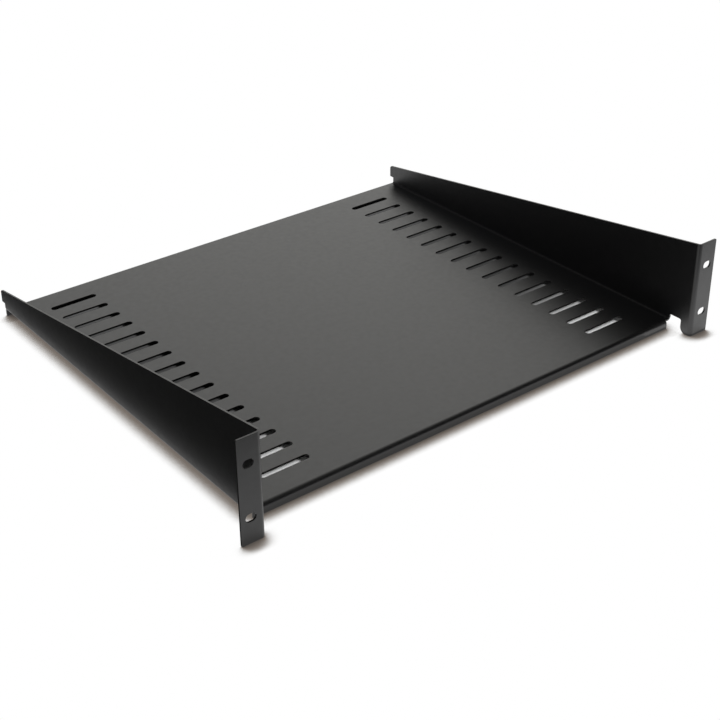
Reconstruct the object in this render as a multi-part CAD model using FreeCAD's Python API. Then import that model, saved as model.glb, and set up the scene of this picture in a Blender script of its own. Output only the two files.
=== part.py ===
# Vented rack shelf for a 19 inch cabinet, two units high.
# One steel sheet is cut, slotted and folded: a deck with two walls turned up,
# a lip turned down at the front and at the back, and two ears turned outward.
# X runs across the rack, Y runs into it and Z is up.
# The origin is the centre of the four ear slots, on the ears' back face,
# which is the face that lies against the rack rails.
import math
import os
import FreeCAD
import Part

# Sheet and folds
sheet = 1.5
bend_in = 2.0

# Rack interface: the ears reach out from the walls, and their slots are set in
# from the ears' tips
ear_span = 482.6
ear_reach = 19.05
ear_height = 87.5
ear_corner = 1.0
slot_inset = 8.75
slot_rise = 44.45
ear_slot_long = 9.0
ear_slot_wide = 6.8

# Body
total_depth = 407.9
wall_past_lip = 1.5
deck_height = 8.0
wall_back_height = 25.6
wall_back_corner = 3.0

# Notch between each ear's leg and the deck, the front lip whose face stands
# proud of the notch's back edge, and the relief at the back
leg_depth = 11.2
leg_corner = 6.0
notch_depth = 12.5
notch_height = 12.7
notch_corner = 1.5
lip_proud = 1.2
lip_end_gap = 4.25
lip_slit = 1.0
relief_height = 14.2

# Vent slots, one column along each wall, spread over the deck's depth
vent_count = 16
vent_long = 44.0
vent_wide = 6.0
vent_side_margin = 30.25
vent_end_margin = 29.2

# Planes that follow from the sizes above
front = -sheet
wall_back = front + total_depth
back = wall_back - wall_past_lip
floor_z = -ear_height / 2
top_z = ear_height / 2
deck_top = floor_z + deck_height
deck_under = deck_top - sheet
wall_out = ear_span / 2 - ear_reach
wall_in = wall_out - sheet
slot_x = ear_span / 2 - slot_inset
bend_out = bend_in + sheet
pan_top = deck_top + bend_in
pan_front = front + leg_depth + notch_depth
lip_face = pan_front - lip_proud
lip_half_width = wall_in - lip_end_gap
lip_tangent = lip_face + bend_out
back_tangent = back - bend_out
ear_tangent = front + bend_out


def vec(x, y, z):
    return FreeCAD.Vector(x, y, z)


def outline(corners):
    """Closed wire through (point, radius) pairs; a radius rounds its corner."""
    count = len(corners)
    starts = []
    ends = []
    middles = []
    for i in range(count):
        here, radius = corners[i]
        if radius == 0:
            starts.append(here)
            ends.append(here)
            middles.append(None)
            continue
        to_last = (corners[i - 1][0] - here).normalize()
        to_next = (corners[(i + 1) % count][0] - here).normalize()
        half = to_last.getAngle(to_next) / 2
        inward = (to_last + to_next).normalize()
        starts.append(here + to_last * (radius / math.tan(half)))
        ends.append(here + to_next * (radius / math.tan(half)))
        middles.append(here + inward * (radius / math.sin(half) - radius))
    edges = []
    for i in range(count):
        if middles[i] is not None:
            edges.append(Part.Arc(starts[i], middles[i], ends[i]).toShape())
        following = starts[(i + 1) % count]
        if ends[i].distanceToPoint(following) > 1e-6:
            edges.append(Part.LineSegment(ends[i], following).toShape())
    return Part.Wire(edges)


def obround(centre, along, across, length, width):
    """Closed wire of a slot with round ends, centred on a point."""
    straight = along * ((length - width) / 2)
    side = across * (width / 2)
    tip = along * (length / 2)
    p1 = centre + straight + side
    p2 = centre + straight - side
    p3 = centre - straight - side
    p4 = centre - straight + side
    edges = [
        Part.Arc(p1, centre + tip, p2).toShape(),
        Part.LineSegment(p2, p3).toShape(),
        Part.Arc(p3, centre - tip, p4).toShape(),
        Part.LineSegment(p4, p1).toShape(),
    ]
    return Part.Wire(edges)


def prism(wire, direction):
    return Part.Face(wire).extrude(direction)


def mirrored(shape):
    return shape.mirror(vec(0, 0, 0), vec(1, 0, 0))


def make_pan():
    """Deck with the two long folds that turn up into the walls."""
    y = pan_front
    section = outline([
        (vec(-wall_out, y, pan_top), 0),
        (vec(-wall_out, y, deck_under), bend_out),
        (vec(wall_out, y, deck_under), bend_out),
        (vec(wall_out, y, pan_top), 0),
        (vec(wall_in, y, pan_top), 0),
        (vec(wall_in, y, deck_top), bend_in),
        (vec(-wall_in, y, deck_top), bend_in),
        (vec(-wall_in, y, pan_top), 0),
    ])
    pan = prism(section, vec(0, back_tangent - pan_front, 0))
    # The deck stops where the front lip's fold begins
    half = lip_half_width + lip_slit
    bite = Part.makeBox(
        2 * half,
        lip_tangent - pan_front,
        deck_height,
        vec(-half, pan_front, floor_z),
    )
    return pan.cut(bite)


def make_lip(face, inward, half_width):
    """Lip turned down from the deck's edge; inward is +1 or -1 along Y."""
    tangent = face + inward * bend_out
    inner = face + inward * sheet
    section = outline([
        (vec(-half_width, tangent, deck_top), 0),
        (vec(-half_width, face, deck_top), bend_out),
        (vec(-half_width, face, floor_z), 0),
        (vec(-half_width, inner, floor_z), 0),
        (vec(-half_width, inner, deck_under), bend_in),
        (vec(-half_width, tangent, deck_under), 0),
    ])
    return prism(section, vec(2 * half_width, 0, 0))


def make_wall():
    """Right wall: leg behind the ear, notch, sloping top and back relief."""
    x = wall_in
    leg_back = front + leg_depth
    notch_top = floor_z + notch_height
    side = outline([
        (vec(x, ear_tangent, floor_z), 0),
        (vec(x, leg_back, floor_z), leg_corner),
        (vec(x, leg_back, notch_top), notch_corner),
        (vec(x, pan_front, notch_top), notch_corner),
        (vec(x, pan_front, pan_top), 0),
        (vec(x, back_tangent, pan_top), 0),
        (vec(x, back_tangent, floor_z + relief_height), 0),
        (vec(x, wall_back, floor_z + relief_height), 0),
        (vec(x, wall_back, floor_z + wall_back_height), wall_back_corner),
        (vec(x, ear_tangent, top_z), 0),
    ])
    return prism(side, vec(sheet, 0, 0))


def make_ear():
    """Right ear with its fold and its two rack slots."""
    tip = ear_span / 2
    section = outline([
        (vec(tip, front, floor_z), 0),
        (vec(wall_in, front, floor_z), bend_out),
        (vec(wall_in, ear_tangent, floor_z), 0),
        (vec(wall_out, ear_tangent, floor_z), 0),
        (vec(wall_out, 0, floor_z), bend_in),
        (vec(tip, 0, floor_z), 0),
    ])
    ear = prism(section, vec(0, 0, ear_height))
    corners = []
    for edge in ear.Edges:
        box = edge.BoundBox
        if box.XMin > tip - 0.01 and box.YLength > sheet / 2:
            corners.append(edge)
    ear = ear.makeFillet(ear_corner, corners)
    for z in (-slot_rise / 2, slot_rise / 2):
        centre = vec(slot_x, front, z)
        slot = obround(centre, vec(1, 0, 0), vec(0, 0, 1), ear_slot_long, ear_slot_wide)
        ear = ear.cut(prism(slot, vec(0, sheet, 0)))
    return ear


def make_vents():
    """Tools for the two columns of slots, evenly spaced between the lips."""
    side = wall_in - vent_side_margin - vent_long / 2
    first = lip_face + vent_end_margin
    last = back - vent_end_margin
    pitch = (last - first) / (vent_count - 1)
    tools = []
    for i in range(vent_count):
        for x in (-side, side):
            centre = vec(x, first + pitch * i, deck_under)
            slot = obround(centre, vec(1, 0, 0), vec(0, 1, 0), vent_long, vent_wide)
            tools.append(prism(slot, vec(0, 0, sheet)))
    return tools


wall = make_wall()
ear = make_ear()
front_lip = make_lip(lip_face, 1, lip_half_width)
back_lip = make_lip(back, -1, wall_in)
shelf = make_pan().multiFuse([wall, mirrored(wall), ear, mirrored(ear), front_lip, back_lip])
shelf = shelf.removeSplitter()
shelf = shelf.cut(Part.makeCompound(make_vents()))
if shelf.ShapeType != "Solid":
    shelf = shelf.Solids[0]

os.makedirs("parts", exist_ok=True)
shelf.exportStep("parts/shelf.step")
print("valid", shelf.isValid(), "volume", round(shelf.Volume, 1), "faces", len(shelf.Faces))
print(shelf.BoundBox)
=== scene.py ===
import bpy
from mathutils import Matrix, Vector


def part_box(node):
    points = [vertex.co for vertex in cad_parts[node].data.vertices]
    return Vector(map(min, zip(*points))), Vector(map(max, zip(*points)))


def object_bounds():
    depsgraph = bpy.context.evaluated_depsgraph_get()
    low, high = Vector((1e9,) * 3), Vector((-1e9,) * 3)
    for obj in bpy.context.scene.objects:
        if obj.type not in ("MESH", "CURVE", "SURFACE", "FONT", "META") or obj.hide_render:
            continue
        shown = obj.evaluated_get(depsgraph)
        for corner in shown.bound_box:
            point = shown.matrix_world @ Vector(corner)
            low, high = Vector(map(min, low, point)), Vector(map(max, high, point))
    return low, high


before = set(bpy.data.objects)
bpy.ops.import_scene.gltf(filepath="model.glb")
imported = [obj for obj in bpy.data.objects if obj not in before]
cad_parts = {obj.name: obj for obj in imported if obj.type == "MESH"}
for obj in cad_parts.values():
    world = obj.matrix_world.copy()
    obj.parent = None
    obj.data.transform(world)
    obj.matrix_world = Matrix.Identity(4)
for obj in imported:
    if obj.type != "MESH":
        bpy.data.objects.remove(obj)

cad_low, cad_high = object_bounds()

# The shelf: one steel sheet, cut, slotted and folded, in satin black powder coat.
# The coat is baked on after folding, so it runs unbroken over folds and cut edges,
# with a fine grain, a slight orange peel and softened cut edges.
coat_colour = (0.0020, 0.0020, 0.0022, 1.0)
coat_ior = 1.6
coat_roughness = 0.40
coat_roughness_spread = 0.05
grain_size = 0.0009
grain_depth = 0.000010
grain_detail = 2.0
peel_size = 0.0050
peel_depth = 0.000018
peel_detail = 1.0
edge_round = 0.00035
edge_samples = 6


def noise_at(nodes, links, place, size, detail):
    """Noise texture whose cells are about size metres across, in object space."""
    noise = nodes.new("ShaderNodeTexNoise")
    noise.inputs["Scale"].default_value = 1.0 / size
    noise.inputs["Detail"].default_value = detail
    links.new(place.outputs["Object"], noise.inputs["Vector"])
    return noise


def bumped(nodes, links, height, depth, normal):
    """Bump of the given depth in metres over a surface normal."""
    bump = nodes.new("ShaderNodeBump")
    bump.inputs["Strength"].default_value = 1.0
    bump.inputs["Distance"].default_value = depth
    links.new(height, bump.inputs["Height"])
    links.new(normal, bump.inputs["Normal"])
    return bump.outputs["Normal"]


def powder_coat():
    """Satin black coat: grain over orange peel over slightly rounded cut edges."""
    coat = bpy.data.materials.new("satin_black_powder_coat")
    coat.use_nodes = True
    nodes, links = coat.node_tree.nodes, coat.node_tree.links
    shader = nodes["Principled BSDF"]
    shader.inputs["Base Color"].default_value = coat_colour
    shader.inputs["IOR"].default_value = coat_ior
    place = nodes.new("ShaderNodeTexCoord")
    grain = noise_at(nodes, links, place, grain_size, grain_detail)
    peel = noise_at(nodes, links, place, peel_size, peel_detail)
    edge = nodes.new("ShaderNodeBevel")
    edge.samples = edge_samples
    edge.inputs["Radius"].default_value = edge_round
    peeled = bumped(nodes, links, peel.outputs["Fac"], peel_depth, edge.outputs["Normal"])
    grained = bumped(nodes, links, grain.outputs["Fac"], grain_depth, peeled)
    links.new(grained, shader.inputs["Normal"])
    rough = nodes.new("ShaderNodeMapRange")
    rough.inputs["To Min"].default_value = coat_roughness - coat_roughness_spread
    rough.inputs["To Max"].default_value = coat_roughness + coat_roughness_spread
    links.new(peel.outputs["Fac"], rough.inputs["Value"])
    links.new(rough.outputs["Result"], shader.inputs["Roughness"])
    return coat


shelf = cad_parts["shelf"]
shelf.material_slots[0].material = powder_coat()

# The floor: a plain pale sweep that the shelf rests on. It shows white, with a painted
# contact shade: in the last centimetres before the shelf its shown colour darkens
# softly, set by ambient occlusion and not by the lamps.
floor_colour = (0.80, 0.80, 0.80, 1.0)
floor_half = 6.0
shade_samples = 12
painted_shade_reach = 0.014
painted_shade_lean = (0.22, 0.68, 0.70)
painted_shade_deep = (0.25, (0.066, 0.058, 0.053, 1.0))
painted_shade_soft = (0.60, (0.195, 0.168, 0.145, 1.0))
shade_none = (0.92, (1.0, 1.0, 1.0, 1.0))
painted_shade_lost_in_gloss = 0.5


def flat_sheet(name, centre, across, along):
    """Rectangle around a centre, spanned by two half-side vectors."""
    corners = [centre - across - along, centre + across - along]
    corners += [centre + across + along, centre - across + along]
    mesh = bpy.data.meshes.new(name)
    mesh.from_pydata([tuple(c) for c in corners], [], [(0, 1, 2, 3)])
    sheet = bpy.data.objects.new(name, mesh)
    bpy.context.scene.collection.objects.link(sheet)
    return sheet


def floor_material():
    """White with a painted soft contact shade to the eye and in gloss, and pale otherwise.
    """
    paper = bpy.data.materials.new("pale_sweep")
    paper.use_nodes = True
    paper.cycles.emission_sampling = "NONE"
    nodes, links = paper.node_tree.nodes, paper.node_tree.links
    nodes.clear()
    out = nodes.new("ShaderNodeOutputMaterial")
    bounced = nodes.new("ShaderNodeBsdfDiffuse")
    bounced.inputs["Color"].default_value = floor_colour
    # Painted contact shade: leaned ambient occlusion near the shelf darkens the floor's
    # shown colour.
    near = nodes.new("ShaderNodeAmbientOcclusion")
    near.samples = shade_samples
    near.inputs["Distance"].default_value = painted_shade_reach
    lean = nodes.new("ShaderNodeCombineXYZ")
    for axis, amount in zip("XYZ", painted_shade_lean):
        lean.inputs[axis].default_value = amount
    links.new(lean.outputs["Vector"], near.inputs["Normal"])
    shade = nodes.new("ShaderNodeValToRGB")
    shade.color_ramp.interpolation = "EASE"
    steps = shade.color_ramp.elements
    steps[0].position, steps[0].color = painted_shade_deep
    steps[1].position, steps[1].color = shade_none
    steps.new(painted_shade_soft[0]).color = painted_shade_soft[1]
    links.new(near.outputs["AO"], shade.inputs["Fac"])
    ray = nodes.new("ShaderNodeLightPath")
    lost = nodes.new("ShaderNodeMath")
    lost.operation = "MULTIPLY"
    lost.inputs[1].default_value = painted_shade_lost_in_gloss
    links.new(ray.outputs["Is Glossy Ray"], lost.inputs[0])
    paler = nodes.new("ShaderNodeMix")
    paler.data_type = "RGBA"
    paler.inputs["B"].default_value = shade_none[1]
    links.new(lost.outputs["Value"], paler.inputs["Factor"])
    links.new(shade.outputs["Color"], paler.inputs["A"])
    shown = nodes.new("ShaderNodeEmission")
    links.new(paler.outputs["Result"], shown.inputs["Color"])
    sees = nodes.new("ShaderNodeMath")
    sees.operation = "MAXIMUM"
    links.new(ray.outputs["Is Camera Ray"], sees.inputs[0])
    links.new(ray.outputs["Is Glossy Ray"], sees.inputs[1])
    mix = nodes.new("ShaderNodeMixShader")
    links.new(sees.outputs["Value"], mix.inputs["Fac"])
    links.new(bounced.outputs["BSDF"], mix.inputs[1])
    links.new(shown.outputs["Emission"], mix.inputs[2])
    links.new(mix.outputs["Shader"], out.inputs["Surface"])
    return paper


floor = flat_sheet(
    "floor",
    Vector((0, 0, cad_low.z)),
    Vector((floor_half, 0, 0)),
    Vector((0, floor_half, 0)),
)
floor.data.materials.append(floor_material())

# The paper below the deck, on which the light that falls through the slots lands.
# Its colour is pale under the front slots and fades to grey behind them: a painted
# shade, so that the slots darken towards the back.
below_pale = (0.95, 0.95, 0.95, 1.0)
below_painted_shade = (0.055, 0.055, 0.055, 1.0)
below_pale_to = 0.085
below_painted_shade_from = 0.200
below_fade = 3.0
below_half = 0.200
below_front = 0.0240
below_back = 0.4020
below_lift = 0.0001


def matt_paper(name, colour):
    """Plain paper with no gloss."""
    paper = bpy.data.materials.new(name)
    paper.use_nodes = True
    shader = paper.node_tree.nodes["Principled BSDF"]
    shader.inputs["Base Color"].default_value = colour
    shader.inputs["Specular IOR Level"].default_value = 0.0
    return paper


def paper_below_deck():
    """Matt paper, pale below the front slots; its colour fades to a painted shade of grey
    behind them.
    """
    paper = matt_paper("paper_below_deck", below_pale)
    nodes, links = paper.node_tree.nodes, paper.node_tree.links
    place = nodes.new("ShaderNodeTexCoord")
    split = nodes.new("ShaderNodeSeparateXYZ")
    links.new(place.outputs["Object"], split.inputs["Vector"])
    ahead = nodes.new("ShaderNodeMapRange")
    ahead.inputs["From Min"].default_value = below_painted_shade_from
    ahead.inputs["From Max"].default_value = below_pale_to
    links.new(split.outputs["Y"], ahead.inputs["Value"])
    fade = nodes.new("ShaderNodeMath")
    fade.operation = "POWER"
    fade.inputs[1].default_value = below_fade
    links.new(ahead.outputs["Result"], fade.inputs[0])
    # Painted shade: the paper's colour goes from pale under the front slots to grey behind
    # them.
    tone = nodes.new("ShaderNodeMix")
    tone.data_type = "RGBA"
    tone.inputs["A"].default_value = below_painted_shade
    tone.inputs["B"].default_value = below_pale
    links.new(fade.outputs["Value"], tone.inputs["Factor"])
    links.new(tone.outputs["Result"], nodes["Principled BSDF"].inputs["Base Color"])
    return paper


def floor_patch(name, low, high, lift):
    """Rectangle laid flat a hair above the floor, between two (x, y) corners."""
    centre = Vector(((low[0] + high[0]) / 2, (low[1] + high[1]) / 2, cad_low.z + lift))
    across = Vector(((high[0] - low[0]) / 2, 0, 0))
    along = Vector((0, (high[1] - low[1]) / 2, 0))
    return flat_sheet(name, centre, across, along)


below = floor_patch(
    "floor_below_deck",
    (-below_half, below_front),
    (below_half, below_back),
    below_lift,
)
below.data.materials.append(paper_below_deck())

# Black cards on the floor, as a studio uses them: the left wall and the ears
# mirror them, which gives the gloss its fall from light to dark.
ear_reach = 0.01905
card_left_gap = 0.009
card_left_wide = 0.32
card_front_gap = 0.120
card_front_deep = 0.60
card_reach = 1.5
card_lift = 0.0005
card_colour = (0.01, 0.01, 0.01, 1.0)


def black_card(name, low, high):
    """Black card laid flat on the floor; only reflections see it."""
    card = floor_patch(name, low, high, card_lift)
    card.data.materials.append(matt_paper(name, card_colour))
    card.visible_camera = False
    card.visible_diffuse = False
    card.visible_shadow = False


wall_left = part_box("shelf")[0].x + ear_reach
left_edge = wall_left - card_left_gap
far_left = left_edge - card_left_wide
far_front = -card_front_gap - card_front_deep
black_card("black_card_left", (far_left, 0.0), (left_edge, card_reach))
black_card("black_card_front", (far_left, far_front), (card_reach, -card_front_gap))

# The studio: a dark room with two soft glows, behind the shelf to its right and
# above its left front corner. A dim panel on the floor lights the right ear, and a
# lamp behind, kept out of the gloss, shines through the slots onto the paper.
room_seen = (1.0, 1.0, 1.0, 1.0)
room_dark = 0.008
sweep_way = Vector((0.72, 0.60, 0.36))
sweep_level = 1.41
overhead_way = Vector((-0.50, -0.45, 0.74))
overhead_level = 0.9
glow_from = 0.55
glow_to = 1.0
room_tint = (1.0, 0.995, 0.965, 1.0)
panel_lift = 0.002
panel_place = Vector((0.47, -0.23, cad_low.z + panel_lift))
panel_aim = panel_place + Vector((0.0, 0.0, 1.0))
panel_side = 0.56
panel_power = 0.42
key_place = Vector((0.0, 0.91, 0.373))
key_aim = Vector((0.0, 0.08, -0.04))
key_side = 0.12
key_power = 15.0


def glow(nodes, links, way, towards, level):
    """Brightness that rises softly to level as a direction nears towards."""
    facing = nodes.new("ShaderNodeVectorMath")
    facing.operation = "DOT_PRODUCT"
    facing.inputs[1].default_value = towards.normalized()
    links.new(way.outputs["Generated"], facing.inputs[0])
    soft = nodes.new("ShaderNodeMapRange")
    soft.interpolation_type = "SMOOTHSTEP"
    soft.inputs["From Min"].default_value = glow_from
    soft.inputs["From Max"].default_value = glow_to
    soft.inputs["To Min"].default_value = room_dark
    soft.inputs["To Max"].default_value = level
    links.new(facing.outputs["Value"], soft.inputs["Value"])
    return soft.outputs["Result"]


def studio_world():
    """White to the eye; for light, two soft glows in a dark room."""
    room = bpy.data.worlds.new("room")
    room.use_nodes = True
    nodes, links = room.node_tree.nodes, room.node_tree.links
    seen = nodes["Background"]
    seen.inputs["Color"].default_value = room_seen
    way = nodes.new("ShaderNodeTexCoord")
    brighter = nodes.new("ShaderNodeMath")
    brighter.operation = "MAXIMUM"
    links.new(glow(nodes, links, way, sweep_way, sweep_level), brighter.inputs[0])
    links.new(glow(nodes, links, way, overhead_way, overhead_level), brighter.inputs[1])
    light = nodes.new("ShaderNodeBackground")
    light.inputs["Color"].default_value = room_tint
    links.new(brighter.outputs["Value"], light.inputs["Strength"])
    ray = nodes.new("ShaderNodeLightPath")
    mix = nodes.new("ShaderNodeMixShader")
    links.new(ray.outputs["Is Camera Ray"], mix.inputs["Fac"])
    links.new(light.outputs["Background"], mix.inputs[1])
    links.new(seen.outputs["Background"], mix.inputs[2])
    links.new(mix.outputs["Shader"], nodes["World Output"].inputs["Surface"])
    bpy.context.scene.world = room


def soft_lamp(name, place, aim, side, power):
    """Square softbox at a place, turned to face its aim."""
    lamp = bpy.data.lights.new(name, "AREA")
    lamp.shape = "SQUARE"
    lamp.size = side
    lamp.energy = power
    box = bpy.data.objects.new(name, lamp)
    facing = (aim - place).to_track_quat("-Z", "Y").to_matrix().to_4x4()
    box.matrix_world = Matrix.Translation(place) @ facing
    box.visible_camera = False
    bpy.context.scene.collection.objects.link(box)
    return box


studio_world()
soft_lamp("floor_panel", panel_place, panel_aim, panel_side, panel_power)
key = soft_lamp("key_lamp", key_place, key_aim, key_side, key_power)
key.visible_glossy = False

# The camera, at the photograph's viewing angle: left of the shelf, in front of it
# and above it, with a small shift that keeps the photograph's framing.
camera_place = Vector((-0.6471, -0.65995, 0.56119))
camera_right = Vector((0.7877, -0.61599, -0.00863))
camera_up = Vector((0.30274, 0.37484, 0.87627))
camera_back = Vector((-0.53654, -0.69285, 0.48175))
camera_lens = 70.58
camera_sensor = 36.0
camera_shift_y = -0.065
camera_clip = 50.0

eye = bpy.data.cameras.new("camera")
eye.sensor_width = camera_sensor
eye.lens = camera_lens
eye.shift_y = camera_shift_y
eye.clip_end = camera_clip
camera = bpy.data.objects.new("camera", eye)
turned = Matrix((camera_right, camera_up, camera_back)).transposed()
camera.matrix_world = Matrix.Translation(camera_place) @ turned.to_4x4()
bpy.context.scene.collection.objects.link(camera)
bpy.context.scene.camera = camera
bpy.context.scene.view_settings.view_transform = "Standard"
